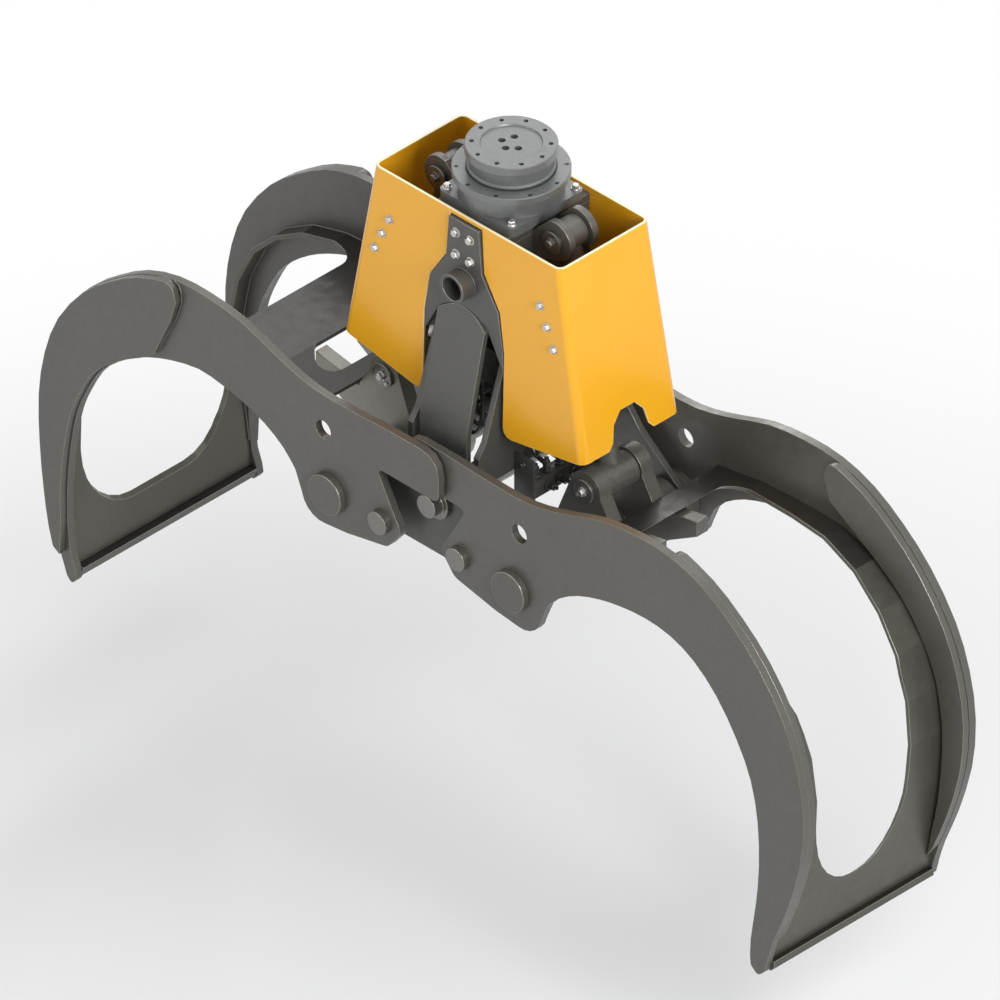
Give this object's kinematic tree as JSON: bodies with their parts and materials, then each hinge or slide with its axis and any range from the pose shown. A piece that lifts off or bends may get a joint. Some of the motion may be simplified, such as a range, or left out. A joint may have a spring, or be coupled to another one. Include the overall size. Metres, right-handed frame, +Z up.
{
  "type": "log grapple",
  "caption": "Hanging log grapple: two curved bypass jaws driven by upright hydraulic cylinders under a sheet shroud, with a flanged rotator on top.",
  "frame": {"origin": "centre of the footprint, on the floor under the open jaws' tips", "axes": "+X across both jaws to the narrow jaw, +Y along the held logs, +Z up the rotator's axis"},
  "size_m": [2.9803, 0.7906, 2.0123],
  "materials": {
    "dark_paint": "satin",
    "grey_paint": "satin",
    "yellow_paint": "gloss",
    "steel": "satin",
    "chrome_rod": "polished"
  },
  "bodies": {
    "frame": {"frame_centre_shaft": "steel", "frame_cross_tube": "grey_paint", "frame_front_leg": "grey_paint", "frame_front_plate": "grey_paint", "frame_front_side": "dark_paint", "frame_head_plate": "dark_paint", "frame_left_web": "dark_paint", "frame_rear_leg": "grey_paint", "frame_rear_plate": "grey_paint", "frame_rear_side": "dark_paint", "frame_right_web": "dark_paint", "frame_valve_block": "grey_paint", "left_cylinder_clevis_front": "dark_paint", "left_cylinder_clevis_rear": "dark_paint", "left_cylinder_upper_pin": "steel", "right_cylinder_clevis_front": "dark_paint", "right_cylinder_clevis_rear": "dark_paint", "right_cylinder_upper_pin": "steel", "pivot_cap_left_front": "dark_paint", "pivot_cap_left_rear": "dark_paint", "pivot_cap_right_front": "dark_paint", "pivot_cap_right_rear": "dark_paint", "pivot_pin_left": "steel", "pivot_pin_right": "steel", "rotator_housing": "grey_paint", "shroud": "yellow_paint"},
    "rotator": {"rotator_flange": "grey_paint"},
    "left_jaw": {"left_jaw_back_plate": "dark_paint", "left_jaw_edge_bar": "steel", "left_jaw_front_lug": "dark_paint", "left_jaw_front_lug_pin": "steel", "left_jaw_front_plate": "dark_paint", "left_jaw_front_stub_pin": "steel", "left_jaw_front_tine": "dark_paint", "left_jaw_hub_tube": "dark_paint", "left_jaw_rear_lug": "dark_paint", "left_jaw_rear_lug_pin": "steel", "left_jaw_rear_plate": "dark_paint", "left_jaw_rear_stub_pin": "steel", "left_jaw_rear_tine": "dark_paint"},
    "right_jaw": {"right_jaw_back_plate": "dark_paint", "right_jaw_edge_bar": "steel", "right_jaw_front_lug": "dark_paint", "right_jaw_front_lug_pin": "steel", "right_jaw_front_plate": "dark_paint", "right_jaw_front_stub_pin": "steel", "right_jaw_front_tine": "dark_paint", "right_jaw_hub_tube": "dark_paint", "right_jaw_rear_lug": "dark_paint", "right_jaw_rear_lug_pin": "steel", "right_jaw_rear_plate": "dark_paint", "right_jaw_rear_stub_pin": "steel", "right_jaw_rear_tine": "dark_paint"},
    "left_barrel": {"left_cylinder_barrel": "dark_paint", "left_cylinder_gland": "grey_paint"},
    "left_rod": {"left_cylinder_rod": "chrome_rod"},
    "right_barrel": {"right_cylinder_barrel": "dark_paint", "right_cylinder_gland": "grey_paint"},
    "right_rod": {"right_cylinder_rod": "chrome_rod"}
  },
  "joints": [
    {"name": "rotator_spin", "type": "hinge", "parent": "frame", "child": "rotator", "pos_m": [0, 0, 1.9307], "axis": [0, 0, 1], "continuous": true},
    {"name": "left_jaw_close", "type": "hinge", "parent": "frame", "child": "left_jaw", "pos_m": [-0.3472, 0, 0.8307], "axis": [0, -1, 0], "range_deg": [0, 64]},
    {"name": "right_jaw_close", "type": "hinge", "parent": "frame", "child": "right_jaw", "pos_m": [0.3472, 0, 0.8307], "axis": [0, 1, 0], "range_deg": [0, 64]},
    {"name": "left_barrel_swing", "type": "hinge", "parent": "frame", "child": "left_barrel", "pos_m": [-0.2268, 0, 1.8163], "axis": [0, 1, 0], "range_deg": [0, 8.71]},
    {"name": "left_rod_extend", "type": "slide", "parent": "left_barrel", "child": "left_rod", "axis": [-0.2251, 0, -0.9743], "range_m": [0, 0.2373]},
    {"name": "right_barrel_swing", "type": "hinge", "parent": "frame", "child": "right_barrel", "pos_m": [0.2268, 0, 1.8163], "axis": [0, -1, 0], "range_deg": [0, 8.71]},
    {"name": "right_rod_extend", "type": "slide", "parent": "right_barrel", "child": "right_rod", "axis": [0.2251, 0, -0.9743], "range_m": [0, 0.2373]}
  ],
  "couplings": [
    {"joint": "left_barrel_swing", "follows": "left_jaw_close", "ratio": 0.133},
    {"joint": "left_rod_extend", "follows": "left_jaw_close", "m_per_rad": 0.2089},
    {"joint": "right_barrel_swing", "follows": "right_jaw_close", "ratio": 0.133},
    {"joint": "right_rod_extend", "follows": "right_jaw_close", "m_per_rad": 0.2089}
  ]
}
